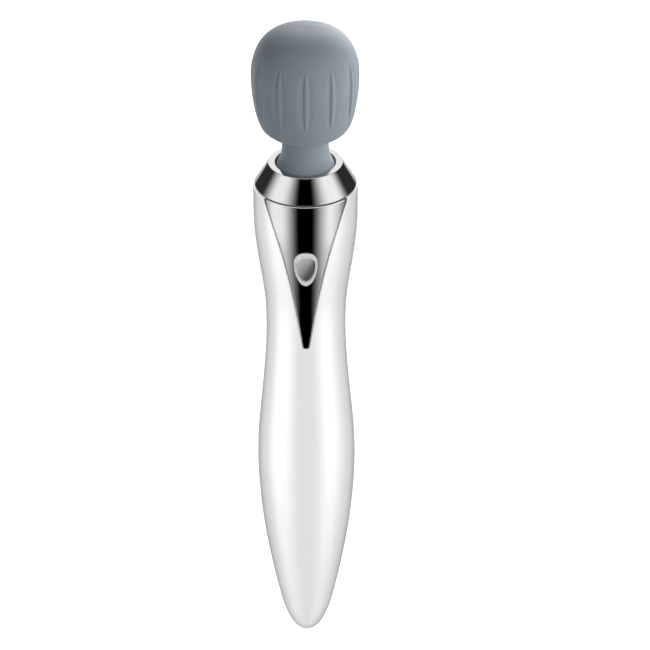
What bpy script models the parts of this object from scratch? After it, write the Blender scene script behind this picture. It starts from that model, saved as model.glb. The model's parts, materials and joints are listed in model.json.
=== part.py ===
"""A handheld wand massager, made as the separate pieces that it comes apart into.

The wand stands upright: +Z runs along its axis up to the round head, and its button faces -Y. The
origin is on the axis at the waist of the handle, where a hand closes round it. Sizes are in
millimetres and degrees, and make_object turns the millimetres into metres.
"""

import math
from bisect import bisect

import bmesh
import bpy
from mathutils import Matrix, Vector

MM = 0.001
GAP = 0.3  # clearance between neighbouring pieces
ROUND = 36  # sides of a large turned piece
SMALL_ROUND = 20  # sides of a small one

# Casing of the handle: (radius, height) from its round tip up to its rim
HANDLE_OUTLINE = (
    (0.0, -143.0),
    (4.6, -140.0),
    (7.9, -134.0),
    (11.0, -123.0),
    (14.2, -107.0),
    (16.6, -92.0),
    (18.3, -76.0),
    (19.05, -61.0),
    (18.7, -46.0),
    (17.35, -31.0),
    (16.0, -15.5),
    (15.25, 0.0),
    (15.8, 15.0),
    (17.9, 30.0),
    (19.55, 45.0),
    (19.7, 61.7),
)
CASING_WALL = 2.2
CAVITY_BOTTOM = -130.0
RIM_Z = 61.7

# Head: (radius, height) from the corner at the neck round to the crown
HEAD_OUTLINE = (
    (8.8, 82.0),
    (13.0, 83.6),
    (16.3, 86.2),
    (18.2, 90.5),
    (19.3, 96.2),
    (20.0, 105.0),
    (19.45, 113.1),
    (17.7, 117.9),
    (14.4, 121.9),
    (9.4, 124.3),
    (0.0, 125.3),
)
SLEEVE_WALL = 2.6
HEAD_SHELL_WALL = 1.8
HEAD_SPLIT_Z = 104.0

# Neck, which bends about one point on the axis
PIVOT_Z = 73.0
NECK_BORE = 7.3
STEM_R = 6.9
STEM_BORE = 5.0
SOCKET_TOP = 66.0
STEM_BOTTOM = 80.0
LEAD_R = 0.6

# Collar: a cone from the rim up to the mouth that the neck stands in
COLLAR_BASE_R = 19.2
COLLAR_BASE_Z = 62.0
COLLAR_TOP_R = 13.95
COLLAR_TOP_Z = 70.9
MOUTH_R = 11.3

# V-shaped trim on the front: its tip is round, and its sides spread towards the rim
TRIM_TIP_Z = -1.5
TRIM_TIP_R = 1.7
TRIM_THICKNESS = 1.2

# Button: an egg with its blunt end up
BUTTON_Z = 34.9
BUTTON_WIDTH = 9.0
BUTTON_LENGTH = 14.8
RING_PROUD = 0.85
RING_DEPTH = 2.8
WINDOW_WIDTH = 7.1  # the opening in the ring, which the cap fills
WINDOW_LENGTH = 10.8
CAP_DOME = ((1.0, 0.05), (0.93, 0.3), (0.75, 0.55), (0.45, 0.7))  # share of the cap's size, height
EGG_WIDEST = 0.35  # where the egg is widest, as a share of its length from its blunt end
EGG_BLUNT = 3.0  # exponents of its blunt and narrow ends: 2 is an ellipse, and more is squarer
EGG_NARROW = 1.8
OUTLINE_SIDES = 28

# Switch and board behind the button
BOARD_FRONT_Y = -7.8
BOARD_THICKNESS = 1.6
BOARD_HALF_WIDTH = 8.5
BOARD_Z = (14.0, 49.5)
SWITCH_Z = 35.4
PLUNGER_R = 1.7

# Screws that hold the two half casings: (x, z) of each, along Y
SCREW_PLACES = {
    "screw_upper_left": (-9.5, 54.0),
    "screw_upper_right": (9.5, 54.0),
    "screw_lower": (0.0, 8.0),
}
SCREW_HEAD_R = 1.8
SCREW_R = 1.0
BOSS_R = 2.9

# Cell and its cradle
CELL_R = 9.2
CELL_Z = (-95.0, -30.0)

# Charging dock on the back
DOCK_Z = -61.0
DOCK_FACE_Y = 19.8
DOCK_WIDTH = 10.6
DOCK_LENGTH = 18.6
DOCK_TIP_WIDTH = 5.0
DOCK_DEPTH = 3.6
CONTACT_X = 2.9
CONTACT_Z = -64.2
CONTACT_R = 1.2

# Motor
MOTOR_R = 12.0
MOTOR_Z = (90.0, 108.4)
SHAFT_R = 1.1
SHAFT_BORE = SHAFT_R + GAP

BODY_HUBS = {
    "handle": (0.0, 0.0, 0.0),
    "neck": (0.0, 0.0, PIVOT_Z),
    "head": (0.0, 0.0, PIVOT_Z),
    "rotor": (0.0, 0.0, MOTOR_Z[0]),
    "button": (0.0, -18.4, BUTTON_Z),
    "plunger": (0.0, -12.0, SWITCH_Z),
}
HUB_PARENTS = {"neck": "handle", "head": "neck", "rotor": "head", "button": "handle", "plunger": "handle"}

# Colour, roughness and metallic value of each finish
FINISHES = {
    "white_gloss": ((0.86, 0.87, 0.88), 0.12, 0.0),
    "chrome": ((0.80, 0.81, 0.83), 0.06, 1.0),
    "grey_silicone": ((0.19, 0.23, 0.26), 0.60, 0.0),
    "satin_ring": ((0.72, 0.72, 0.78), 0.25, 0.6),
    "satin_cap": ((0.36, 0.37, 0.41), 0.30, 0.8),
    "inner_plastic": ((0.55, 0.56, 0.58), 0.50, 0.0),
    "black_plastic": ((0.03, 0.03, 0.03), 0.45, 0.0),
    "black_rubber": ((0.04, 0.04, 0.04), 0.75, 0.0),
    "board_green": ((0.02, 0.20, 0.08), 0.40, 0.0),
    "led_lens": ((0.85, 0.90, 0.95), 0.15, 0.0),
    "cell_wrap": ((0.05, 0.16, 0.42), 0.35, 0.0),
    "gold_contact": ((0.85, 0.62, 0.25), 0.20, 1.0),
    "magnet_nickel": ((0.55, 0.54, 0.52), 0.25, 1.0),
    "ferrite": ((0.08, 0.08, 0.085), 0.60, 0.2),
    "steel": ((0.55, 0.56, 0.58), 0.25, 1.0),
    "brass": ((0.72, 0.52, 0.22), 0.30, 1.0),
    "copper": ((0.72, 0.35, 0.20), 0.35, 1.0),
    "red_wire": ((0.60, 0.03, 0.03), 0.45, 0.0),
    "black_wire": ((0.02, 0.02, 0.02), 0.45, 0.0),
}


# ---------------------------------------------------------------- outlines


def smooth_path(outline, per_span):
    """A smooth curve through the outline's (radius, height) points, level where it meets the axis."""
    points = [Vector(p) for p in outline]
    first, last = points[0], points[-1]
    before = Vector((-points[1].x, points[1].y)) if first.x == 0 else 2 * first - points[1]
    after = Vector((-points[-2].x, points[-2].y)) if last.x == 0 else 2 * last - points[-2]
    points = [before, *points, after]
    path = []
    for n in range(1, len(points) - 2):
        path += [tuple(curve_point(points[n - 1 : n + 3], step / per_span)) for step in range(per_span)]
    return [*path, tuple(last)]


def curve_point(four, t):
    """The point at t, from 0 to 1, between the second and third of four points on a smooth curve."""
    p0, p1, p2, p3 = four
    d0, d1, d2 = (p1 - p0).length, (p2 - p1).length, (p3 - p2).length
    out = ((p1 - p0) * d1 / d0 + (p2 - p1) * d0 / d1) / (d0 + d1) * d1
    into = ((p2 - p1) * d2 / d1 + (p3 - p2) * d1 / d2) / (d1 + d2) * d1
    rest = 1 - t
    return p1 * (rest**2 * (1 + 2 * t)) + p2 * (t**2 * (3 - 2 * t)) + out * (rest**2 * t) - into * (t**2 * rest)


def inset(path, depth):
    """The path moved inwards by depth, for a path that runs upwards on the outside of a solid."""
    moved = []
    for n, (r, z) in enumerate(path):
        (r0, z0), (r1, z1) = path[max(n - 1, 0)], path[min(n + 1, len(path) - 1)]
        if r == 0:
            r0, r1, z0, z1 = (r0 - r1), 0, 0, 0
        length = math.hypot(r1 - r0, z1 - z0)
        moved.append((max(r - (z1 - z0) / length * depth, 0.0), z + (r1 - r0) / length * depth))
    return moved


def radius_at(path, z):
    """The radius of an upward path at a height."""
    n = min(max(bisect([height for _, height in path], z), 1), len(path) - 1)
    (r0, z0), (r1, z1) = path[n - 1], path[n]
    return r0 + (r1 - r0) * (z - z0) / (z1 - z0)


def clipped(path, low=-math.inf, high=math.inf):
    """The stretch of an upward path between two heights, with a point at each."""
    kept = [p for p in path if low < p[1] < high]
    if low > path[0][1]:
        kept.insert(0, (radius_at(path, low), low))
    if high < path[-1][1]:
        kept.append((radius_at(path, high), high))
    return kept


def teardrop(width, length, tip_width, grow=0.0):
    """Outline of a teardrop in its own plane: two arcs, the wide one up, joined by straight sides."""
    wide, tip = width / 2 + grow, tip_width / 2 + grow
    wide_y, tip_y = length / 2 + grow - wide, tip - length / 2 - grow
    lean = math.asin((wide - tip) / (wide_y - tip_y))
    half = OUTLINE_SIDES // 2
    outline = []
    for n in range(half + 1):
        turn = -lean + (math.pi + 2 * lean) * n / half
        outline.append((wide * math.cos(turn), wide_y + wide * math.sin(turn)))
    for n in range(half + 1):
        turn = math.pi + lean + (math.pi - 2 * lean) * n / half
        outline.append((tip * math.cos(turn), tip_y + tip * math.sin(turn)))
    return outline


def egg(width, length, grow=0.0):
    """Outline of an egg in its own plane, blunt end up: two halves of superellipses."""
    half, above, below = width / 2 + grow, length * EGG_WIDEST + grow, length * (1 - EGG_WIDEST) + grow
    level = length / 2 - length * EGG_WIDEST
    outline = []
    for n in range(OUTLINE_SIDES):
        turn = 2 * math.pi * (n + 0.5) / OUTLINE_SIDES
        c, s = math.cos(turn), math.sin(turn)
        power, tall = (2 / EGG_BLUNT, above) if s > 0 else (2 / EGG_NARROW, below)
        x, y = math.copysign(abs(c) ** power, c), math.copysign(abs(s) ** power, s)
        outline.append((half * x, level + tall * y))
    return outline


def button_outline(grow=0.0):
    return egg(BUTTON_WIDTH, BUTTON_LENGTH, grow)


def window_outline(grow=0.0, share=1.0):
    """The opening in the button's ring, or a share of its size about its middle."""
    return [(x * share, y * share) for x, y in egg(WINDOW_WIDTH, WINDOW_LENGTH, grow)]


def dock_outline(grow=0.0):
    """The dock's teardrop has its wide end down."""
    return [(-x, -y) for x, y in teardrop(DOCK_WIDTH, DOCK_LENGTH, DOCK_TIP_WIDTH, grow)]


def circle_like(outline, radius):
    """A circle with one point in the direction of each point of an outline."""
    return [tuple(Vector(p).normalized() * radius) for p in outline]


def trim_half_width(z):
    """Half the trim's width, measured round the casing, at a height."""
    up = z - TRIM_TIP_Z
    share = up / (COLLAR_BASE_Z - TRIM_TIP_Z)
    width = 1.1 + 10.3 * share + 7.1 * share**4
    if up < TRIM_TIP_R:
        width = min(width, math.sqrt(TRIM_TIP_R**2 - (TRIM_TIP_R - up) ** 2))
    return width


# ---------------------------------------------------------------- solids


def turned(profile, sides=ROUND, start=0.0, sweep=360.0):
    """A closed (radius, height) profile turned about Z, all the way round or over part of a turn."""
    bm = bmesh.new()
    whole = sweep >= 360
    rows = []
    for n in range(sides if whole else sides + 1):
        turn = math.radians(start + sweep * n / sides)
        rows.append([(r * math.cos(turn), r * math.sin(turn), z) for r, z in profile])
    pins = [bm.verts.new((0, 0, z)) if r == 0 else None for r, z in profile]
    grid = [[pin or bm.verts.new(point) for pin, point in zip(pins, row)] for row in rows]
    for n in range(sides):
        here, there = grid[n], grid[(n + 1) % len(grid)]
        for k in range(len(profile)):
            corners = dict.fromkeys([here[k - 1], here[k], there[k], there[k - 1]])
            if len(corners) > 2:
                bm.faces.new(corners)
    if not whole:
        bm.faces.new(grid[0])
        bm.faces.new(grid[-1][::-1])
    bmesh.ops.recalc_face_normals(bm, faces=bm.faces)
    return bm


def lofted(rings, place, closed=False):
    """A skin over (outline, height) rings with equally many points, closed by its ends or on itself."""
    bm = bmesh.new()
    loops = [[bm.verts.new((x, y, h)) for x, y in outline] for outline, h in rings]
    pairs = list(zip(loops, loops[1:])) + ([(loops[-1], loops[0])] if closed else [])
    for low, high in pairs:
        for n in range(len(low)):
            bm.faces.new((low[n - 1], low[n], high[n], high[n - 1]))
    if not closed:
        bm.faces.new(loops[0])
        bm.faces.new(loops[-1])
    bmesh.ops.recalc_face_normals(bm, faces=bm.faces)
    bm.transform(place)
    return bm


def rod_y(x, z, profile, sides=SMALL_ROUND):
    """A (radius, y) profile turned about a line along Y, with no corner right above its axis."""
    bm = turned(profile, sides, start=90 / sides)
    bm.transform(Matrix.Translation((x, 0, z)) @ Matrix.Rotation(-math.pi / 2, 4, "X"))
    return bm


def merged(parts):
    """Several meshes in one."""
    whole = bmesh.new()
    for part in parts:
        mesh = bpy.data.meshes.new("joined_part")
        part.to_mesh(mesh)
        part.free()
        whole.from_mesh(mesh)
        bpy.data.meshes.remove(mesh)
    return whole


def box(low, high):
    bm = bmesh.new()
    size = Vector(high) - Vector(low)
    bmesh.ops.create_cube(bm, size=1)
    bm.transform(Matrix.Translation((Vector(high) + Vector(low)) / 2) @ Matrix.Diagonal((*size, 1)))
    return bm


def pipe_profile(inner, outer, low, high):
    return [(inner, low), (outer, low), (outer, high), (inner, high)]


def disc_profile(radius, low, high):
    return [(0, low), (radius, low), (radius, high), (0, high)]


def trim_patch(path, grow, depth, proud, top, rows=14, columns=8):
    """The trim's V wrapped on the casing, between a depth below its surface and a height above it."""
    bm = bmesh.new()
    sheets = []
    low = TRIM_TIP_Z + 0.12 - grow
    for offset in (proud, -depth):
        sheet = []
        for n in range(rows + 1):
            z = low + (top - low) * (n / rows) ** 1.3
            r = radius_at(path, min(z, RIM_Z))
            half = (trim_half_width(max(z + grow, TRIM_TIP_Z + 0.12)) + grow) / r
            turns = [-math.pi / 2 + half * (2 * k / columns - 1) for k in range(columns + 1)]
            r += offset
            sheet.append([bm.verts.new((r * math.cos(a), r * math.sin(a), z)) for a in turns])
        sheets.append(sheet)
    for sheet in sheets:
        for row, above in zip(sheet, sheet[1:]):
            for k in range(columns):
                bm.faces.new((row[k], row[k + 1], above[k + 1], above[k]))
    rims = [edge_loop(sheet) for sheet in sheets]
    for n in range(len(rims[0])):
        bm.faces.new((rims[0][n - 1], rims[0][n], rims[1][n], rims[1][n - 1]))
    bmesh.ops.recalc_face_normals(bm, faces=bm.faces)
    return bm


def edge_loop(grid):
    """The points round the edge of a grid, in order."""
    right = [row[-1] for row in grid[1:-1]]
    left = [row[0] for row in grid[1:-1]]
    return [*grid[0], *right, *grid[-1][::-1], *left[::-1]]


# ---------------------------------------------------------------- objects


def clear_scene():
    for old in list(bpy.data.objects):
        bpy.data.objects.remove(old)


def make_hubs():
    """An empty for each body, on the axis of the joint that moves it."""
    hubs = {}
    for body, centre in BODY_HUBS.items():
        hub = bpy.data.objects.new(body + "_hub", None)
        hub.empty_display_size = 10 * MM
        parent = HUB_PARENTS.get(body)
        from_parent = Vector(centre) - Vector(BODY_HUBS[parent] if parent else (0, 0, 0))
        hub.location = from_parent * MM
        hub.parent = hubs.get(parent)
        bpy.context.scene.collection.objects.link(hub)
        hubs[body] = hub
    return hubs


def make_material(name):
    colour, roughness, metallic = FINISHES[name]
    material = bpy.data.materials.new(name)
    material.use_nodes = True
    shader = material.node_tree.nodes["Principled BSDF"]
    shader.inputs["Base Color"].default_value = (*colour, 1)
    shader.inputs["Roughness"].default_value = roughness
    shader.inputs["Metallic"].default_value = metallic
    material.diffuse_color = (*colour, 1)
    return material


def make_object(name, bm, finish, body="handle"):
    """A named object with its own finish, from a mesh in millimetres, hung on its body's hub."""
    hub = bpy.data.objects[body + "_hub"]
    bm.transform(Matrix.Scale(MM, 4) @ Matrix.Translation(-Vector(BODY_HUBS[body])))
    mesh = bpy.data.meshes.new(name)
    bm.to_mesh(mesh)
    bm.free()
    mesh.shade_smooth()
    mesh.set_sharp_from_angle(angle=math.radians(35))
    mesh.materials.append(bpy.data.materials.get(finish) or make_material(finish))
    obj = bpy.data.objects.new(name, mesh)
    obj.parent = hub
    bpy.context.scene.collection.objects.link(obj)
    return obj


def make_helper(name, bm):
    """A shape that only cuts or joins others."""
    helper = make_object(name, bm, "steel")
    helper.hide_render = True
    helper.display_type = "WIRE"
    return helper


def combine(target, helper, operation):
    modifier = target.modifiers.new(helper.name, "BOOLEAN")
    modifier.operation = operation
    modifier.solver = "EXACT"
    modifier.object = helper


def make_wire(name, route, finish, body="handle"):
    """An insulated lead along a smooth curve through its route."""
    points = [Vector(p) for p in route]
    points = [2 * points[0] - points[1], *points, 2 * points[-1] - points[-2]]
    path = []
    for n in range(1, len(points) - 2):
        path += [curve_point(points[n - 1 : n + 3], step / 3) for step in range(3)]
    path.append(points[-2])
    curve = bpy.data.curves.new(name, "CURVE")
    curve.dimensions = "3D"
    curve.bevel_depth = LEAD_R * MM
    curve.bevel_resolution = 2
    curve.use_fill_caps = True
    spline = curve.splines.new("POLY")
    spline.points.add(len(path) - 1)
    for point, place in zip(spline.points, path):
        point.co = (*((place - Vector(BODY_HUBS[body])) * MM), 1)
    curve.materials.append(bpy.data.materials.get(finish) or make_material(finish))
    obj = bpy.data.objects.new(name, curve)
    obj.parent = bpy.data.objects[body + "_hub"]
    bpy.context.scene.collection.objects.link(obj)
    return obj


# ---------------------------------------------------------------- handle


def handle_profile():
    """Half the section through the casing, both walls, closed at the rim."""
    outside = smooth_path(HANDLE_OUTLINE, 2)
    inside = clipped(inset(smooth_path(HANDLE_OUTLINE, 1), CASING_WALL)[2:], low=CAVITY_BOTTOM)
    return [*outside, (outside[-1][0] - CASING_WALL, RIM_Z), *inside[-2::-1], (0, CAVITY_BOTTOM)]


def screw_bosses(side):
    """The three posts of one half casing, as long as from the parting plane to past its wall."""
    ends = sorted((side * GAP / 2, side * 19))
    return merged([rod_y(x, z, disc_profile(BOSS_R, *ends), 16) for x, z in SCREW_PLACES.values()])


def screw_head_y(x, z):
    """Where a screw's head starts: just under the trim, in its sunk hole."""
    floor = radius_at(smooth_path(HANDLE_OUTLINE, 4), z) - TRIM_THICKNESS - GAP
    return -math.sqrt(floor**2 - (abs(x) + SCREW_HEAD_R) ** 2) + 0.6


def front_screw_holes():
    """Stepped holes: wide for the head, then narrow for the shank."""
    holes = []
    for x, z in SCREW_PLACES.values():
        seat = screw_head_y(x, z) + 1.5
        wide, narrow = SCREW_HEAD_R + GAP, SCREW_R + GAP
        profile = [(0, -22), (wide, -22), (wide, seat), (narrow, seat), (narrow, 1), (0, 1)]
        holes.append(rod_y(x, z, profile, 16))
    return merged(holes)


def rear_screw_holes():
    profile = disc_profile(SCREW_R + GAP, -1, 11)
    return merged([rod_y(x, z, profile, 16) for x, z in SCREW_PLACES.values()])


def make_casing():
    """The two white half casings, parted along the sides, with their screw posts."""
    profile = handle_profile()
    core_path = inset(smooth_path(HANDLE_OUTLINE, 1), CASING_WALL / 2)
    core = make_helper("casing_core", turned([(0, RIM_Z - 1), *clipped(core_path, high=RIM_Z - 1)[::-1]]))
    halves = []
    for name, side in (("handle_front_shell", -1), ("handle_rear_shell", 1)):
        half = turned(profile, ROUND // 2, start=90 - 90 * side, sweep=180)
        half.transform(Matrix.Translation((0, side * GAP / 2, 0)))
        shell = make_object(name, half, "white_gloss")
        bosses = make_helper(name + "_bosses", screw_bosses(side))
        combine(bosses, core, "INTERSECT")
        combine(shell, bosses, "UNION")
        halves.append(shell)
    return halves


def cut_front_casing(front):
    """The recess for the trim, the opening for the button and the holes for the screws."""
    path = smooth_path(HANDLE_OUTLINE, 4)
    pocket = trim_patch(path, GAP, TRIM_THICKNESS + GAP, 4.0, RIM_Z + 3)
    combine(front, make_helper("trim_pocket", pocket), "DIFFERENCE")
    opening = lofted([(button_outline(GAP), -6), (button_outline(GAP), 4)], button_place())
    combine(front, make_helper("button_opening", opening), "DIFFERENCE")
    combine(front, make_helper("front_screw_holes", front_screw_holes()), "DIFFERENCE")


def cut_rear_casing(rear):
    """The opening for the charging dock and the blind holes for the screws."""
    opening = lofted([(dock_outline(GAP), -6), (dock_outline(GAP), 4)], dock_place())
    combine(rear, make_helper("dock_opening", opening), "DIFFERENCE")
    combine(rear, make_helper("rear_screw_holes", rear_screw_holes()), "DIFFERENCE")


def make_collar():
    """The chrome cone with its flat top, and a skirt that plugs into the casing."""
    skirt_out, skirt_in, shoulder, skirt_low = 17.0, 15.8, 64.0, 58.0
    profile = [
        (COLLAR_BASE_R, COLLAR_BASE_Z),
        (COLLAR_TOP_R, COLLAR_TOP_Z),
        (MOUTH_R, COLLAR_TOP_Z),
        (MOUTH_R, shoulder),
        (skirt_in, shoulder),
        (skirt_in, skirt_low),
        (skirt_out, skirt_low),
        (skirt_out, COLLAR_BASE_Z),
    ]
    make_object("collar_ring", turned(profile), "chrome")


def make_trim():
    """The chrome V, with the button's opening through it."""
    patch = trim_patch(smooth_path(HANDLE_OUTLINE, 4), 0.0, TRIM_THICKNESS, 0.0, RIM_Z)
    trim = make_object("trim_panel", patch, "chrome")
    combine(trim, bpy.data.objects["button_opening"], "DIFFERENCE")


def make_screws():
    for name, (x, z) in SCREW_PLACES.items():
        top = screw_head_y(x, z)
        seat = top + 1.2
        profile = [(0, top), (SCREW_HEAD_R, top), (SCREW_HEAD_R, seat), (SCREW_R, seat), (SCREW_R, 9.5), (0, 9.5)]
        make_object(name, rod_y(x, z, profile, 16), "steel")


# ---------------------------------------------------------------- button and board


def button_place():
    """The button's own frame: X across, Y up along the casing, Z out of it."""
    path = smooth_path(HANDLE_OUTLINE, 4)
    slope = math.atan((radius_at(path, BUTTON_Z + 5) - radius_at(path, BUTTON_Z - 5)) / 10)
    centre = Matrix.Translation((0, -radius_at(path, BUTTON_Z), BUTTON_Z))
    return centre @ Matrix.Rotation(math.pi / 2 + slope, 4, "X")


def make_button_ring():
    """The satin ring round the button, with a rounded top, which also guides its light."""
    rings = [
        (button_outline(), -RING_DEPTH),
        (button_outline(), 0.35),
        (button_outline(-0.2), 0.7),
        (button_outline(-0.45), RING_PROUD),
        (window_outline(0.25), RING_PROUD - 0.1),
        (window_outline(), 0.4),
        (window_outline(), -RING_DEPTH),
    ]
    make_object("button_ring", lofted(rings, button_place(), closed=True), "satin_ring")


def make_button_cap():
    """The domed cap inside the ring, with the stem that presses the switch."""
    stem = circle_like(button_outline(), 1.6)
    rings = [(stem, -4.4), (stem, -3.0), (window_outline(-GAP), -3.0)]
    rings += [(window_outline(-GAP, share), height) for share, height in CAP_DOME]
    make_object("button_cap", lofted(rings, button_place()), "satin_cap", "button")


def make_switch():
    """A tact switch on the board: its square body, and the plunger that slides in it."""
    half, front = 3.1, BOARD_FRONT_Y - GAP - 3.5
    body = box((-half, front, SWITCH_Z - half), (half, BOARD_FRONT_Y - GAP, SWITCH_Z + half))
    switch = make_object("switch_body", body, "black_plastic")
    well = rod_y(0, SWITCH_Z, disc_profile(PLUNGER_R + GAP, front - 1, front + 2.0))
    combine(switch, make_helper("plunger_well", well), "DIFFERENCE")
    plunger = rod_y(0, SWITCH_Z, disc_profile(PLUNGER_R, -13.35, front + 0.8))
    make_object("switch_plunger", plunger, "inner_plastic", "plunger")


def make_board():
    low = (-BOARD_HALF_WIDTH, BOARD_FRONT_Y, BOARD_Z[0])
    high = (BOARD_HALF_WIDTH, BOARD_FRONT_Y + BOARD_THICKNESS, BOARD_Z[1])
    make_object("circuit_board", box(low, high), "board_green")
    lamp_z, front = 42.0, BOARD_FRONT_Y - GAP
    lamp = box((-1.6, front - 2.0, lamp_z - 1.2), (1.6, front, lamp_z + 1.2))
    make_object("status_led", lamp, "led_lens")


# ---------------------------------------------------------------- cell and dock


def make_cell():
    """The round lithium cell with its raised positive end, in a cradle with two end walls."""
    low, high = CELL_Z
    profile = [(0, low), (CELL_R, low), (CELL_R, high - 1), (3, high - 1), (3, high), (0, high)]
    make_object("battery_cell", turned(profile, 28), "cell_wrap")
    inner, outer, wall = CELL_R + GAP, CELL_R + GAP + 1.6, 2.0
    bottom, top = low - GAP, high + GAP
    cradle = [
        (0, bottom - wall),
        (outer, bottom - wall),
        (outer, top + wall),
        (0, top + wall),
        (0, top),
        (inner, top),
        (inner, bottom),
        (0, bottom),
    ]
    make_object("battery_holder", turned(cradle, 16, start=180, sweep=180), "black_plastic")


def dock_place():
    """The dock's own frame: X across, Y up, Z out of the back."""
    turn = Matrix.Rotation(math.pi, 4, "Z") @ Matrix.Rotation(math.pi / 2, 4, "X")
    return Matrix.Translation((0, DOCK_FACE_Y, DOCK_Z)) @ turn


def make_dock():
    """The flat plate that a magnetic charging head snaps onto, its two contacts and its magnets."""
    chamfer = 0.3
    rings = [
        (dock_outline(), -DOCK_DEPTH),
        (dock_outline(), -chamfer),
        (dock_outline(-chamfer), 0.0),
    ]
    plate = make_object("charge_plate", lofted(rings, dock_place()), "white_gloss")
    holes = [
        rod_y(side * CONTACT_X, CONTACT_Z, disc_profile(CONTACT_R + GAP, 10, 22), 16) for side in (-1, 1)
    ]
    combine(plate, make_helper("contact_holes", merged(holes)), "DIFFERENCE")
    for name, side in (("charge_contact_left", 1), ("charge_contact_right", -1)):
        pin = rod_y(side * CONTACT_X, CONTACT_Z, disc_profile(CONTACT_R, 14.5, DOCK_FACE_Y), 16)
        make_object(name, pin, "gold_contact")
    for name, z, radius in (("charge_magnet_upper", -57.4, 2.2), ("charge_magnet_lower", -69.2, 1.8)):
        disc = rod_y(0, z, disc_profile(radius, 12.6, DOCK_FACE_Y - DOCK_DEPTH - GAP), 16)
        make_object(name, disc, "magnet_nickel")


# ---------------------------------------------------------------- neck


def make_neck():
    """The socket in the collar, the bending rubber coupling on it, and the silicone sleeve round it."""
    spigot_r, bore = 6.6, 4.0
    socket = [(bore, 57), (spigot_r, 57), (spigot_r, 60), (15.3, 60), (15.3, 63), (spigot_r, 63)]
    socket += [(spigot_r, SOCKET_TOP), (bore, SOCKET_TOP)]
    make_object("neck_socket", turned(socket, 28), "inner_plastic")
    make_object("neck_coupling", turned(coupling_profile(), SMALL_ROUND), "black_rubber", "neck")
    flare = smooth_path([(10.8, 70.2), (10.2, 71.5), (9.3, 73.4), (8.8, 76.8), (8.8, 81.7)], 2)
    sleeve = [(NECK_BORE, 63.4), (10.8, 63.4), *flare, (NECK_BORE, 81.7)]
    make_object("neck_sleeve", turned(sleeve, 28), "grey_silicone", "neck")


def coupling_profile():
    """A rubber spool with three grooves that let it bend."""
    low, high, bore, rib, groove, count = SOCKET_TOP + GAP, STEM_BOTTOM - GAP, 3.0, 6.5, 4.9, 4
    pitch = (high - low) / (2 * count - 1)
    profile = [(bore, low)]
    for n in range(count):
        bottom = low + 2 * n * pitch
        profile += [(rib, bottom), (rib, bottom + pitch)]
        if n < count - 1:
            profile += [(groove, bottom + pitch + 0.3), (groove, bottom + 2 * pitch - 0.3)]
    return [*profile, (bore, high)]


def make_leads():
    """Red and black leads: cell to board, dock to board, and board up through the neck to the motor."""
    for finish, side in (("red_wire", 1), ("black_wire", -1)):
        colour = finish.removesuffix("_wire")
        x = side * 4.6
        board_y = BOARD_FRONT_Y + BOARD_THICKNESS + LEAD_R + GAP
        cell_route = [(x, 3.5, -26.5), (x, 3.0, -16), (x, -1.0, 2), (x, board_y, 15), (x, board_y, 22)]
        make_wire("battery_lead_" + colour, cell_route, finish)
        inner = side * 1.6
        motor_route = [(inner, board_y, 40), (inner, board_y, 46), (inner, -1.5, 54), (inner, 0, 60)]
        motor_route += [(inner, 0, 72), (inner, 0, 82), (inner, 0, 89.4)]
        make_wire("motor_lead_" + colour, motor_route, finish, "neck")
        out = side * 7.2
        dock_route = [(side * CONTACT_X, 13.4, CONTACT_Z), (side * 5.5, 12.6, -60), (out, 11.2, -48)]
        dock_route += [(out, 11.0, -30), (out, 8, -8), (out, 0, 8), (out, board_y, 18), (out, board_y, 24)]
        make_wire("charge_lead_" + colour, dock_route, finish)


# ---------------------------------------------------------------- head


def make_head_covers():
    """The silicone cap of the head, stretched over two plastic shells that meet at the split."""
    outline = smooth_path(HEAD_OUTLINE, 2)
    liner = inset(smooth_path(HEAD_OUTLINE, 1), SLEEVE_WALL)
    cap = [*outline, *liner[::-1], (NECK_BORE, liner[0][1] - 0.2), (NECK_BORE, 82.0)]
    make_object("head_sleeve", turned(cap, ROUND), "grey_silicone", "head")

    coarse = smooth_path(HEAD_OUTLINE, 1)
    outer = inset(coarse, SLEEVE_WALL + GAP)
    inner = inset(coarse, SLEEVE_WALL + GAP + HEAD_SHELL_WALL)
    low, high = HEAD_SPLIT_Z - GAP / 2, HEAD_SPLIT_Z + GAP / 2
    cup = [(STEM_R, STEM_BOTTOM), (STEM_R, outer[0][1] - 0.2), *clipped(outer, high=low)]
    cup += [*clipped(inner, high=low)[::-1], (STEM_BORE, inner[0][1] - 0.4), (STEM_BORE, STEM_BOTTOM)]
    make_object("head_shell_lower", turned(cup, 28), "inner_plastic", "head")
    dome = [*clipped(outer, low=high), *clipped(inner, low=high)[::-1]]
    make_object("head_shell_upper", turned(dome, 28), "inner_plastic", "head")


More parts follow.
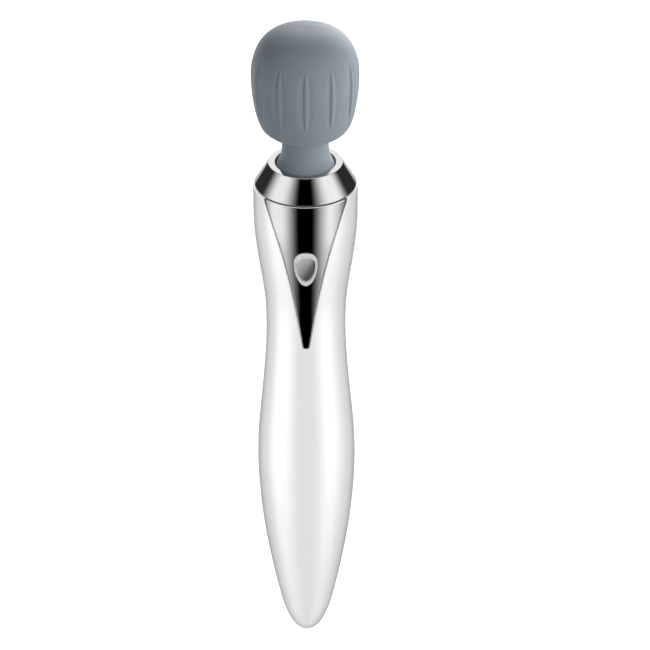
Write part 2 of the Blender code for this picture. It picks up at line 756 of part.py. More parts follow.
def make_motor():
    """The still half of the motor: can, end cap, bush, brushes, magnets and the rubber ring round it."""
    bottom, top = MOTOR_Z
    wall = 0.9
    bush_out = 2.6
    can = [
        (MOTOR_R, bottom),
        (MOTOR_R, top),
        (bush_out + GAP, top),
        (bush_out + GAP, top - wall),
        (MOTOR_R - wall, top - wall),
        (MOTOR_R - wall, bottom),
    ]
    make_object("motor_can", turned(can, 28), "steel", "head")
    inside = MOTOR_R - wall - GAP
    end_cap = turned(pipe_profile(SHAFT_BORE, inside, bottom + 0.2, bottom + 2), 28)
    make_object("motor_end_cap", end_cap, "black_plastic", "head")
    bush = turned(pipe_profile(SHAFT_BORE, bush_out, top - 1.6, top + 1.1), SMALL_ROUND)
    make_object("motor_bush", bush, "brass", "head")
    damper = turned(pipe_profile(MOTOR_R + GAP, 14.2, 97, 103), 28)
    make_object("motor_damper", damper, "black_rubber", "head")
    for name, side in (("left", -1), ("right", 1)):
        arc = turned(pipe_profile(9.2, inside, 94.6, 104.6), 12, start=90 - 90 * side - 70, sweep=140)
        make_object("motor_magnet_" + name, arc, "ferrite", "head")
        edges = sorted((side * 3.8, side * 6.6))
        brush = box((edges[0], -1.2, bottom + 2.3), (edges[1], 1.2, bottom + 3.9))
        make_object("motor_brush_" + name, brush, "copper", "head")


def make_rotor():
    """What spins: shaft, commutator, wound core and the off-centre weight that shakes the head."""
    bottom = MOTOR_Z[0]
    make_object("motor_shaft", turned(disc_profile(SHAFT_R, bottom + 0.6, 117.5), 16), "steel", "rotor")
    commutator = turned(pipe_profile(SHAFT_BORE, 3.5, bottom + 2.4, bottom + 4.1), SMALL_ROUND)
    make_object("commutator", commutator, "copper", "rotor")
    core = turned(pipe_profile(SHAFT_BORE, 8.6, bottom + 4.6, bottom + 14.2), 24)
    make_object("rotor_core", core, "copper", "rotor")
    low, high, hub_r, heavy_r = 110.6, 116.6, 3.4, 9.6
    hub = turned(pipe_profile(SHAFT_BORE, hub_r, low, high), SMALL_ROUND, start=90 / SMALL_ROUND)
    weight = make_object("eccentric_weight", hub, "brass", "rotor")
    half_disc = turned(pipe_profile(hub_r - 1, heavy_r, low + 0.4, high - 0.4), 14, sweep=180)
    combine(weight, make_helper("weight_half_disc", half_disc), "UNION")


def main():
    clear_scene()
    make_hubs()
    front, rear = make_casing()
    cut_front_casing(front)
    cut_rear_casing(rear)
    make_collar()
    make_trim()
    make_screws()
    make_button_ring()
    make_button_cap()
    make_switch()
    make_board()
    make_cell()
    make_dock()
    make_neck()
    make_leads()
    make_head_covers()
    make_motor()
    make_rotor()


main()
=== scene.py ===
"""Looks of the handheld wand massager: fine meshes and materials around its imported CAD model.

Shapes are worked out in millimetres and turned into metres when each piece is made. The wand
stands along +Z and its button faces -Y. "Turn" is an angle round the axis from the front, growing
towards +X, and "arc" is the same measured along the surface.
"""

import json
import math
from bisect import bisect

import bmesh
import bpy
from mathutils import Matrix, Vector

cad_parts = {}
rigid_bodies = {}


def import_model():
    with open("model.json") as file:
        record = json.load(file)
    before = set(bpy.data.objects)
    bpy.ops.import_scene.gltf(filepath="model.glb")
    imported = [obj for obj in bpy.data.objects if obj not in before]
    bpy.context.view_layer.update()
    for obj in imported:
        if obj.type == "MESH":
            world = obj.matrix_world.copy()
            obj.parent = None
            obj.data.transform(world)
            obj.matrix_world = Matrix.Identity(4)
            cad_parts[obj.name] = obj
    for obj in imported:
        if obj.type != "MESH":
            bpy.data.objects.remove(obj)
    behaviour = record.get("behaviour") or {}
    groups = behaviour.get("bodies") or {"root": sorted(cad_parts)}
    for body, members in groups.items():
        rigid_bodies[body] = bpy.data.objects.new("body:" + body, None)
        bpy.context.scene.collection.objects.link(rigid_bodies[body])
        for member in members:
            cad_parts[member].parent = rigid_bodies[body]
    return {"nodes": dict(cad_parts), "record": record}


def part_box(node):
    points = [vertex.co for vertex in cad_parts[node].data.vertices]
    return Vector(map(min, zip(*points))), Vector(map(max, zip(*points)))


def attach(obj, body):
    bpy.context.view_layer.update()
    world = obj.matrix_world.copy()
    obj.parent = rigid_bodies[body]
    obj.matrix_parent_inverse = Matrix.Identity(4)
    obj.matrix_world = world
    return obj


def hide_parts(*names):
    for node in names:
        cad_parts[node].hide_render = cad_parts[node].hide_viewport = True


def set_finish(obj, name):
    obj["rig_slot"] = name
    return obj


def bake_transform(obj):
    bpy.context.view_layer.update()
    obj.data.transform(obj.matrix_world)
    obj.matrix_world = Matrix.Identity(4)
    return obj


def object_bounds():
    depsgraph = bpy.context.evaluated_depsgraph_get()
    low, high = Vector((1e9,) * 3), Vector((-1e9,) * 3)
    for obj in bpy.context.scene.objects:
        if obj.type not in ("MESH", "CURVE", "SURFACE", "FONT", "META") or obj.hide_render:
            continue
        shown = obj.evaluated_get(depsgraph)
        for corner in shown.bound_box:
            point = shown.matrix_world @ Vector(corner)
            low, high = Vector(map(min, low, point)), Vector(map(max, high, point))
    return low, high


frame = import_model()
cad_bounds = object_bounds()

MM = 0.001

# Driving sizes in millimetres. Most are the CAD model's. The button, its window and its cap are
# shaped a little differently here, and small edges and gaps are only in this script
TRIM_TIP_Z = -1.5
TRIM_TIP_R = 1.7
TRIM_SIDE = (1.1, 10.3, 7.1)  # half its width at the tip, then what height adds evenly and as a fourth power
TRIM_TOP_MARGIN = 0.3  # the trim's widening is reckoned to the collar's base, this far above the rim
TRIM_THICKNESS = 1.2
TRIM_GAP = 0.28
TRIM_EDGE = 0.5
TRIM_CORNER = 0.9
CASING_WALL = 2.2
PARTING_GAP = 0.05
SEAM_EDGE = 0.4  # rounding of the casing's edges at the parting line
RIM_EDGE = 0.4
POCKET_EDGE = 0.3  # rounding of the casing's edge round the trim
POCKET_FLOOR = 0.3  # how far the recess goes below the trim
BUTTON_CLEARANCE = {"casing": 0.12, "trim": 0.06}
BUTTON_Z = 34.9
# Width, length, and exponents of the blunt and narrow ends: 2 is an ellipse, and more is squarer
BUTTON = (8.75, 14.8, 2.4, 1.85)
WINDOW = (7.1, 11.2, 2.7, 1.85)  # the opening in the button's ring
RING_DEPTH = 2.8
RING_SHOULDER = 0.2
RING_BEADS = ((0.0, 0.62, 0.5), (0.62, 1.0, 0.28))  # (start, end, height) of each, from outside in
CAP_GAP = 0.16
CAP_EDGE_Z = -0.3
CAP_DOME = 0.9
CAP_LOW = -3.0
CAP_STEM_R = 1.6
CAP_STEM_LOW = -4.4
DOCK = (10.6, 18.6, 5.0)
DOCK_DEPTH = 3.6
DOCK_EDGE = 0.35
DOCK_CLEARANCE = 0.15
CONTACT_R = 1.2
CONTACT_CLEARANCE = 0.15
COLLAR_TOP_R = 13.95
COLLAR_MOUTH_R = 11.3
COLLAR_BASE_Z = 62.0
COLLAR_SHOULDER_Z = 64.0
COLLAR_SKIRT_R = (15.8, 17.0)
COLLAR_EDGES = {0: 0.22, 1: 0.25, 2: 0.45, 5: 0.2, 6: 0.2}  # rounding by corner: base, top, mouth, skirt
MOUTH_SHADE_SLEEVE = (0.02, 0.14)  # how far the black sleeve of painted shade in the mouth stands off its wall, outside and inside
SLEEVE_WALL = 2.6
NECK_BORE = 7.3
NECK_R = 10.8
NECK_FLARE = ((NECK_R, 70.2), (10.2, 71.5), (9.3, 73.4), (8.8, 76.8))  # (radius, height), upwards
NECK_SPLIT = 74.0  # where pieces that bend are cut in two, just above the hinges' pivot
TEARDROP_SIDES = 96
EGG_SIDES = 96
EGG_WIDEST = 0.35  # where an egg outline is widest, as a share of its length from its blunt end
EDGE_STEPS = (0.0, 0.04, 0.13, 0.29, 0.5, 0.74, 1.0)  # how a rounded edge is divided, as shares of its radius

# Grooves round the head: each is a shallow dip with one steep side that ends in a raised lip
GROOVES = 12
GROOVE_FIRST_TURN = 0.4
GROOVE_Z = (91.3, 117.0)
# (arc, height) across it: a gentle dip, a steep rise to the lip, a shorter fall and back
GROOVE_SECTION = ((-3.6, 0.0), (-0.95, -0.5), (-0.2, 0.12), (0.35, 0.12), (1.4, -0.25), (4.0, 0.0))
LIP = 0.17  # how far the head's skin is sunk, so that the lips stay inside the CAD model
LIP_Z = (84, 90)  # the skin sinks between these heights
GROOVE_COLUMNS = 40

CAMERA_DISTANCE = 1200.0
CAMERA_ELEVATION = 30.5
CAMERA_TURN = -0.4
CAMERA_ASIDE = 7.3
CAMERA_LENS = 172.8


# ---------------------------------------------------------------- outlines


def curve_point(four, t):
    """The point at t, from 0 to 1, between the second and third of four points on a smooth curve."""
    p0, p1, p2, p3 = four
    d0, d1, d2 = (p1 - p0).length, (p2 - p1).length, (p3 - p2).length
    out = ((p1 - p0) * d1 / d0 + (p2 - p1) * d0 / d1) / (d0 + d1) * d1
    into = ((p2 - p1) * d2 / d1 + (p3 - p2) * d1 / d2) / (d1 + d2) * d1
    rest = 1 - t
    ends = p1 * (rest**2 * (1 + 2 * t)) + p2 * (t**2 * (3 - 2 * t))
    return ends + out * (rest**2 * t) - into * (t**2 * rest)


def smooth_path(outline, per_span):
    """A smooth curve through (radius, height) points, level where it meets the axis."""
    points = [Vector(p) for p in outline]
    first, last = points[0], points[-1]
    before = Vector((-points[1].x, points[1].y)) if first.x == 0 else 2 * first - points[1]
    after = Vector((-points[-2].x, points[-2].y)) if last.x == 0 else 2 * last - points[-2]
    points = [before, *points, after]
    path = []
    for n in range(1, len(points) - 2):
        path += [tuple(curve_point(points[n - 1 : n + 3], step / per_span)) for step in range(per_span)]
    return [*path, tuple(last)]


def outline_of(node, wall=1.2, reach=14.0):
    """The outer (radius, height) outline of a turned CAD node, upwards, where it meets the plane y = 0.

    A point that lies deeper than `wall` under a line between two near ones is on an inner surface.
    """
    widest = {}
    for vertex in frame["nodes"][node].data.vertices:
        x, y, z = vertex.co / MM
        if abs(y) < 0.2 and x > -0.01:
            height = round(z, 2)
            widest[height] = max(x, widest.get(height, 0.0))
    points = [(r, z) for z, r in sorted(widest.items())]

    def buried(n):
        r, z = points[n]
        below = [p for p in points[:n] if z - p[1] < reach]
        above = [p for p in points[n + 1 :] if p[1] - z < reach]
        return any(
            r0 + (r1 - r0) * (z - z0) / (z1 - z0) > r + wall for r0, z0 in below for r1, z1 in above
        )

    kept = [p for n, p in enumerate(points) if not buried(n)]
    return [(0.0 if r < 0.05 else r, z) for r, z in kept]


class Outline:
    """A smooth upward outline of a round piece, with its radius and outward slope at any height."""

    def __init__(self, node, per_span):
        self.path = smooth_path(outline_of(node), per_span)
        self.heights = [z for _, z in self.path]
        self.normals = [self.normal_at_point(n) for n in range(len(self.path))]

    def normal_at_point(self, n):
        path = self.path
        (r0, z0), (r1, z1) = path[max(n - 1, 0)], path[min(n + 1, len(path) - 1)]
        if path[n][0] == 0:
            return (0.0, -1.0 if n == 0 else 1.0)
        length = math.hypot(r1 - r0, z1 - z0)
        return ((z1 - z0) / length, (r0 - r1) / length)

    def at(self, z):
        """Radius at a height, then the two parts of the outward normal: away from the axis, and up."""
        n = min(max(bisect(self.heights, z), 1), len(self.path) - 1)
        share = (z - self.heights[n - 1]) / (self.heights[n] - self.heights[n - 1])
        low, high = (*self.path[n - 1], *self.normals[n - 1]), (*self.path[n], *self.normals[n])
        r, _, out, up = (a + (b - a) * share for a, b in zip(low, high))
        return r, out, up

    def point(self, arc, z, depth=0.0):
        """The point at an arc from the front and a height, sunk below the surface."""
        r, out, up = self.at(z)
        turn = arc / max(r, 1e-6)
        r = max(r - depth * out, 0.0)
        return (r * math.sin(turn), -r * math.cos(turn), z - depth * up)


def teardrop(sizes, grow=0.0):
    """Outline of a teardrop in its own plane: two arcs, the wide one up, joined by straight sides."""
    width, length, tip_width = sizes
    wide, tip = width / 2 + grow, tip_width / 2 + grow
    wide_y, tip_y = length / 2 + grow - wide, tip - length / 2 - grow
    lean = math.asin((wide - tip) / (wide_y - tip_y))
    sweeps = ((-lean, math.pi + 2 * lean, wide, wide_y), (math.pi + lean, math.pi - 2 * lean, tip, tip_y))
    corners = []
    for start, sweep, r, y in sweeps:
        half = TEARDROP_SIDES // 2
        turns = [start + sweep * n / half for n in range(half + 1)]
        corners += [(r * math.cos(a), y + r * math.sin(a)) for a in turns]
    return spread_evenly(corners, TEARDROP_SIDES)


def egg(sizes, grow=0.0, share=1.0):
    """Outline of an egg in its own plane, blunt end up: two halves of superellipses."""
    width, length, blunt, narrow = sizes
    half = width / 2 + grow
    above, below = length * EGG_WIDEST + grow, length * (1 - EGG_WIDEST) + grow
    level = length / 2 - length * EGG_WIDEST
    corners = []
    for n in range(4 * EGG_SIDES):
        turn = 2 * math.pi * n / (4 * EGG_SIDES)
        c, s = math.cos(turn), math.sin(turn)
        power, tall = (2 / blunt, above) if s > 0 else (2 / narrow, below)
        x = half * math.copysign(abs(c) ** power, c)
        y = level + tall * math.copysign(abs(s) ** power, s)
        corners.append((x, y))
    return [(x * share, y * share) for x, y in spread_evenly(corners, EGG_SIDES)]


def spread_evenly(corners, count):
    """Points at even steps along a closed outline, so that its straight sides have as many as its arcs."""
    ends = [*corners, corners[0]]
    lengths = [0.0]
    for a, b in zip(ends, ends[1:]):
        lengths.append(lengths[-1] + math.dist(a, b))
    points = []
    for n in range(count):
        along = lengths[-1] * n / count
        k = min(max(bisect(lengths, along), 1), len(ends) - 1)
        share = (along - lengths[k - 1]) / max(lengths[k] - lengths[k - 1], 1e-9)
        points.append(tuple(Vector(ends[k - 1]).lerp(Vector(ends[k]), share)))
    return points


def rounded(profile, radii, steps=5):
    """A closed profile whose corners are rounded: radii gives a corner's radius by its place in the list."""
    path = []
    for n, corner in enumerate(profile):
        radius = radii.get(n, 0.0)
        if not radius:
            path.append(corner)
            continue
        here = Vector(corner)
        back = (Vector(profile[n - 1]) - here).normalized()
        ahead = (Vector(profile[(n + 1) % len(profile)]) - here).normalized()
        half = back.angle(ahead) / 2
        centre = here + (back + ahead).normalized() * radius / math.sin(half)
        first = here + back * radius / math.tan(half) - centre
        last = here + ahead * radius / math.tan(half) - centre
        path += [tuple(centre + first.slerp(last, k / steps) * radius) for k in range(steps + 1)]
    return path


def fillet_drop(distance, radius):
    """How far a rounded edge has sunk at a distance in from it."""
    if distance >= radius:
        return 0.0
    return radius - math.sqrt(max(radius**2 - (radius - max(distance, 0.0)) ** 2, 0.0))


# ---------------------------------------------------------------- meshes


def mesh_of(points, faces, place=None):
    """A bmesh in millimetres, with points that coincide made one and its faces turned outwards."""
    bm = bmesh.new()
    verts = [bm.verts.new(p) for p in points]
    for face in faces:
        bm.faces.new([verts[k] for k in face])
    bmesh.ops.remove_doubles(bm, verts=bm.verts, dist=0.0015)
    bmesh.ops.delete(bm, geom=[e for e in bm.edges if not e.link_faces], context="EDGES")
    bmesh.ops.recalc_face_normals(bm, faces=bm.faces)
    if place:
        bm.transform(place)
    return bm


def plate(outer, inner, place=None):
    """A closed solid between two grids of points that have equally many rows and columns."""
    rows, columns = len(outer), len(outer[0])
    points = [p for grid in (outer, inner) for row in grid for p in row]
    sheet = rows * columns
    faces = []
    for n in range(rows - 1):
        for k in range(columns - 1):
            here = n * columns + k
            corners = (here, here + 1, here + columns + 1, here + columns)
            faces.append(corners)
            faces.append(tuple(c + sheet for c in reversed(corners)))
    rim = list(range(columns)) + [n * columns - 1 for n in range(2, rows)]
    rim += list(range(sheet - 1, sheet - columns - 1, -1)) + [n * columns for n in range(rows - 2, 0, -1)]
    for a, b in zip(rim, rim[1:] + rim[:1]):
        faces.append((a, b, b + sheet, a + sheet))
    return mesh_of(points, faces, place)


def lofted(rings, place=None, closed=False):
    """A skin over rings of equally many points, closed by its ends or on itself."""
    count = len(rings[0])
    points = [p for ring in rings for p in ring]
    faces = []
    pairs = [(n, n + 1) for n in range(len(rings) - 1)] + ([(len(rings) - 1, 0)] if closed else [])
    for low, high in pairs:
        for k in range(count):
            after = (k + 1) % count
            corners = (low * count + k, low * count + after, high * count + after, high * count + k)
            faces.append(corners)
    if not closed:
        faces.append(tuple(range(count))[::-1])
        faces.append(tuple(range(len(points) - count, len(points))))
    return mesh_of(points, faces, place)


def turned(profile, sides, place=None):
    """A closed (radius, height) profile turned about Z."""
    rings = []
    for n in range(sides):
        turn = 2 * math.pi * n / sides
        rings.append([(r * math.cos(turn), r * math.sin(turn), z) for r, z in profile])
    return lofted(rings, place, closed=True)


def along_y(x, z):
    """Turns a shape made about Z so that its axis runs along Y through (x, z)."""
    return Matrix.Translation((x, 0, z)) @ Matrix.Rotation(-math.pi / 2, 4, "X")


def make_object(name, bm):
    mesh = bpy.data.meshes.new(name)
    bm.transform(Matrix.Scale(MM, 4))
    bm.to_mesh(mesh)
    bm.free()
    obj = bpy.data.objects.new(name, mesh)
    bpy.context.scene.collection.objects.link(obj)
    return obj


def cut_out(target, tool):
    """Cuts a tool out of a piece and keeps only the result."""
    helper = make_object("helper", tool)
    modifier = target.modifiers.new("cut", "BOOLEAN")
    modifier.operation = "DIFFERENCE"
    modifier.solver = "EXACT"
    modifier.object = helper
    graph = bpy.context.evaluated_depsgraph_get()
    result = bpy.data.meshes.new_from_object(target.evaluated_get(graph))
    target.modifiers.clear()
    old = target.data
    target.data = result
    result.name = target.name
    bpy.data.meshes.remove(old)
    bpy.data.objects.remove(helper)


def finish_piece(obj, slot, replaced=(), body=None, sharp=35):
    """Shading, material and place in the assembly of a piece, whose mesh is final."""
    obj.data.shade_smooth()
    obj.data.set_sharp_from_angle(angle=math.radians(sharp))
    obj.data.materials.clear()
    obj.data.materials.append(MATERIALS[slot])
    if body:
        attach(obj, body)
    else:
        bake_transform(obj)
    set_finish(obj, slot)
    if replaced:
        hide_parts(*replaced)
    return obj


# ---------------------------------------------------------------- materials


def new_material(name):
    material = bpy.data.materials.new(name)
    material.use_nodes = True
    tree = material.node_tree
    return material, tree, tree.nodes["Principled BSDF"]


def noise(tree, scale, detail=3.0, stretch=(1, 1, 1), roughness=0.5):
    """Noise fixed to the object, its scale in cells per metre."""
    place = tree.nodes.new("ShaderNodeTexCoord")
    mapping = tree.nodes.new("ShaderNodeMapping")
    mapping.inputs["Scale"].default_value = stretch
    texture = tree.nodes.new("ShaderNodeTexNoise")
    texture.inputs["Scale"].default_value = scale
    texture.inputs["Detail"].default_value = detail
    texture.inputs["Roughness"].default_value = roughness
    tree.links.new(place.outputs["Object"], mapping.inputs["Vector"])
    tree.links.new(mapping.outputs["Vector"], texture.inputs["Vector"])
    return texture.outputs["Fac"]


def ramp(tree, value, stops, smooth=False):
    """A colour ramp: stops are (position, colour or grey)."""
    node = tree.nodes.new("ShaderNodeValToRGB")
    if smooth:
        node.color_ramp.interpolation = "EASE"
    elements = node.color_ramp.elements
    while len(elements) < len(stops):
        elements.new(0.5)
    for element, (position, colour) in zip(elements, stops):
        element.position = position
        grey = not isinstance(colour, tuple)
        element.color = (colour, colour, colour, 1) if grey else (*colour, 1)
    tree.links.new(value, node.inputs["Fac"])
    return node.outputs["Color"]


def bump(tree, shader, height, strength, distance):
    node = tree.nodes.new("ShaderNodeBump")
    node.inputs["Strength"].default_value = strength
    node.inputs["Distance"].default_value = distance
    tree.links.new(height, node.inputs["Height"])
    tree.links.new(node.outputs["Normal"], shader.inputs["Normal"])
    return node


def shade(colour, factor):
    return tuple(c * factor for c in colour)


def textured(name, colour, roughness, metallic=0.0, scale=300, vary=0.12, rough_vary=0.08,
             grain=3000, strength=0.1, depth=0.00003, stretch=(1, 1, 1), **sockets):
    """The common recipe: cloudy colour and roughness, and a fine grain in the surface."""
    material, tree, shader = new_material(name)
    cloud = noise(tree, scale, stretch=stretch)
    colours = ramp(tree, cloud, [(0.3, shade(colour, 1 - vary)), (0.7, shade(colour, 1 + vary))])
    tree.links.new(colours, shader.inputs["Base Color"])
    patches = noise(tree, scale * 2.7, stretch=stretch)
    rough = ramp(tree, patches, [(0.3, roughness - rough_vary), (0.7, roughness + rough_vary)])
    tree.links.new(rough, shader.inputs["Roughness"])
    bump(tree, shader, noise(tree, grain, stretch=stretch), strength, depth)
    shader.inputs["Metallic"].default_value = metallic
    for socket, value in sockets.items():
        shader.inputs[socket.replace("_", " ")].default_value = value
    return material


def white_gloss():
    """Hard white enamel: a thick clear coat with a trace of orange peel over a pearl base."""
    return textured(
        "white_gloss", (0.80, 0.803, 0.815), 0.2, scale=60, vary=0.012, rough_vary=0.04,
        grain=420, strength=0.05, depth=0.00003, Coat_Weight=1.0, Coat_Roughness=0.09, Coat_IOR=1.75,
        Specular_IOR_Level=0.9,
    )


def chrome():
    """Bright plating with fine wiping marks that only show in the edges of reflections."""
    return textured(
        "chrome", (0.445, 0.44, 0.44), 0.035, 1.0, scale=140, vary=0.03, rough_vary=0.015,
        grain=2400, strength=0.015, depth=0.00001, stretch=(1, 1, 0.15),
    )


def grey_silicone():
    """Soft matt silicone: a fine skin grain, faint clouds of colour and a velvety rim."""
    return textured(
        "grey_silicone", (0.125, 0.150, 0.172), 0.6, scale=90, vary=0.04, rough_vary=0.05,
        grain=2600, strength=0.12, depth=0.00002, Sheen_Weight=0.08, Sheen_Roughness=0.5,
        Specular_IOR_Level=0.2,
    )


def rotor_core():
    """Enamelled copper wire, as bands round the core."""
    material, tree, shader = new_material("copper_winding")
    place = tree.nodes.new("ShaderNodeTexCoord")
    wave = tree.nodes.new("ShaderNodeTexWave")
    wave.bands_direction = "Z"
    wave.inputs["Scale"].default_value = 900
    wave.inputs["Distortion"].default_value = 0.6
    tree.links.new(place.outputs["Object"], wave.inputs["Vector"])
    colours = ramp(tree, wave.outputs["Fac"], [(0.2, (0.30, 0.10, 0.04)), (0.7, (0.78, 0.36, 0.18))])
    tree.links.new(colours, shader.inputs["Base Color"])
    bump(tree, shader, wave.outputs["Fac"], 0.6, 0.0001)
    shader.inputs["Metallic"].default_value = 0.9
    shader.inputs["Roughness"].default_value = 0.35
    return material


def board_green():
    """Solder mask over copper tracks, which show as lighter lines."""
    material, tree, shader = new_material("board_green")
    place = tree.nodes.new("ShaderNodeTexCoord")
    tracks = tree.nodes.new("ShaderNodeTexBrick")
    tracks.inputs["Scale"].default_value = 260
    tracks.inputs["Mortar Size"].default_value = 0.06
    tracks.inputs["Color1"].default_value = (0.012, 0.13, 0.05, 1)
    tracks.inputs["Color2"].default_value = (0.016, 0.16, 0.065, 1)
    tracks.inputs["Mortar"].default_value = (0.05, 0.32, 0.14, 1)
    mapping = tree.nodes.new("ShaderNodeMapping")
    mapping.inputs["Rotation"].default_value = (math.pi / 2, 0, 0)
    tree.links.new(place.outputs["Object"], mapping.inputs["Vector"])
    tree.links.new(mapping.outputs["Vector"], tracks.inputs["Vector"])
    tree.links.new(tracks.outputs["Color"], shader.inputs["Base Color"])
    bump(tree, shader, noise(tree, 2500), 0.1, 0.00002)
    shader.inputs["Roughness"].default_value = 0.35
    return material


def make_materials():
    made = {
        "white_gloss": white_gloss(),
        "chrome": chrome(),
        "grey_silicone": grey_silicone(),
        "board_green": board_green(),
        "winding": rotor_core(),
        "satin_ring": textured(
            "satin_ring", (0.60, 0.59, 0.64), 0.38, scale=500, vary=0.02, grain=5000,
            strength=0.03, depth=0.00001, Coat_Weight=0.25, Coat_Roughness=0.25,
        ),
        "satin_cap": textured(
            "satin_cap", (0.14, 0.14, 0.137), 0.5, 0.2, scale=400, vary=0.03, rough_vary=0.02,
            grain=6000, strength=0.02, depth=0.000005,
        ),
        "led_lens": textured("led_lens", (0.85, 0.90, 0.95), 0.15, vary=0.03, Coat_Weight=0.6),
    }
    plain = {
        "inner_plastic": ((0.55, 0.56, 0.58), 0.5, 0.0, 2200),
        "black_plastic": ((0.03, 0.03, 0.03), 0.45, 0.0, 2600),
        "black_rubber": ((0.035, 0.035, 0.035), 0.75, 0.0, 3200),
        "cell_wrap": ((0.05, 0.16, 0.42), 0.35, 0.0, 700),
        "red_wire": ((0.60, 0.03, 0.03), 0.45, 0.0, 2400),
        "black_wire": ((0.02, 0.02, 0.02), 0.45, 0.0, 2400),
        "gold_contact": ((0.85, 0.62, 0.25), 0.2, 1.0, 4000),
        "magnet_nickel": ((0.55, 0.54, 0.52), 0.25, 1.0, 3000),
        "ferrite": ((0.08, 0.08, 0.085), 0.6, 0.2, 2800),
        "steel": ((0.55, 0.56, 0.58), 0.28, 1.0, 2000),
        "brass": ((0.72, 0.52, 0.22), 0.3, 1.0, 2000),
        "copper": ((0.72, 0.35, 0.20), 0.35, 1.0, 2000),
    }
    for name, (colour, roughness, metallic, grain) in plain.items():
        made[name] = textured(name, colour, roughness, metallic, grain=grain)
    return made


# ---------------------------------------------------------------- handle


def trim_side(z):
    """Half the trim's width without its round tip, measured round the casing, and its growth with height."""
    tip, even, late = TRIM_SIDE
    length = RIM_Z + TRIM_TOP_MARGIN - TRIM_TIP_Z
    share = (z - TRIM_TIP_Z) / length
    return tip + even * share + late * share**4, (even + 4 * late * share**3) / length


def trim_half_width(z):
    """Half the trim's width, measured round the casing, at a height."""
    width, _ = trim_side(z)
    up = z - TRIM_TIP_Z
    if up < TRIM_TIP_R:
        width = min(width, math.sqrt(max(TRIM_TIP_R**2 - (TRIM_TIP_R - up) ** 2, 0.0)))
    return width


def trim_distance(arc, z):
    """Distance from the trim's edge on the casing, positive outside it."""
    side, slope = trim_side(max(z, TRIM_TIP_Z))
    distance = (abs(arc) - side) / math.hypot(1, slope)
    centre = TRIM_TIP_Z + TRIM_TIP_R
    if z < centre:
        distance = max(distance, math.hypot(arc, z - centre) - TRIM_TIP_R)
    return distance


def pocket_half_width(z):
    """Half the width of the trim's recess, which is wider than the trim by a fine gap all round."""
    up = z - TRIM_TIP_Z + TRIM_GAP
    if up <= 0:
        return 0.0
    side, slope = trim_side(max(z, TRIM_TIP_Z))
    width = side + TRIM_GAP * math.hypot(1, slope)
    tip = TRIM_TIP_R + TRIM_GAP
    if up < tip:
        width = min(width, math.sqrt(tip**2 - (tip - up) ** 2))
    return width


def front_rows():
    """Heights of the front casing's rows: closer at the trim's tip and at the rim."""
    heights = [z for z in CASING.heights if not TRIM_TIP_Z - 1 < z < TRIM_TIP_Z + 4]
    bottom = TRIM_TIP_Z - TRIM_GAP
    heights += [bottom - step for step in (0.8, 0.5, 0.35, 0.25, 0.16, 0.08, 0.03, 0.002)]
    above = (0.002, 0.02, 0.06, 0.12, 0.2, 0.3, 0.42, 0.56, 0.75, 1, 1.4, 2, 2.7, 3.4)
    heights += [bottom + step for step in above]
    return rim_rows(heights)


def rim_rows(heights):
    return sorted([z for z in heights if z < RIM_Z - RIM_EDGE] + [RIM_Z - RIM_EDGE * s for s in EDGE_STEPS])


def front_row(z):
    """A row of the front casing: (arc, depth) points, with no depth where only the edges sink them."""
    quarter = CASING.at(z)[0] * math.pi / 2
    pocket = pocket_half_width(z)
    floor = TRIM_THICKNESS + POCKET_FLOOR if z > TRIM_TIP_Z - TRIM_GAP else None
    half = [(pocket * s, floor) for s in (0, 0.35, 0.7, 1)]
    seam = min(SEAM_EDGE, quarter * 0.1)
    start, end = pocket + POCKET_EDGE, max(quarter - seam, pocket + POCKET_EDGE)
    if quarter < 3 * POCKET_EDGE:
        start = end = quarter / 2
    half += [(min(pocket + POCKET_EDGE * s, start), None) for s in EDGE_STEPS]
    half += [(start + (end - start) * k / 36, None) for k in range(1, 36)]
    half += [(max(quarter - seam * s, end), None) for s in reversed(EDGE_STEPS)]
    return [(-arc, depth) for arc, depth in reversed(half)] + half[1:]


def front_drop(arc, z):
    """How far the front casing's face has sunk at the recess, the parting line or the rim."""
    quarter = CASING.at(z)[0] * math.pi / 2
    return max(
        fillet_drop(trim_distance(arc, z) - TRIM_GAP, POCKET_EDGE),
        fillet_drop(quarter - abs(arc), min(SEAM_EDGE, quarter * 0.1)),
        fillet_drop(RIM_Z - z, RIM_EDGE),
    )


def make_front_shell():
    """The front half casing: a shell with a V-shaped recess that has a rounded lip."""
    outer, inner = [], []
    for z in front_rows():
        row = front_row(z)
        depths = [front_drop(arc, z) if depth is None else depth for arc, depth in row]
        outer.append([CASING.point(arc, z, depth) for (arc, _), depth in zip(row, depths)])
        inner.append([CASING.point(arc, z, CASING_WALL) for arc, _ in row])
    shift = Matrix.Translation((0, -PARTING_GAP, 0))
    shell = make_object("front_casing", plate(outer, inner, shift))
    cut_out(shell, lofted(button_rings(BUTTON_CLEARANCE["casing"], (-6, 2)), BUTTON_PLACE))
    finish_piece(shell, "white_gloss", ["handle_front_shell"], body="handle")


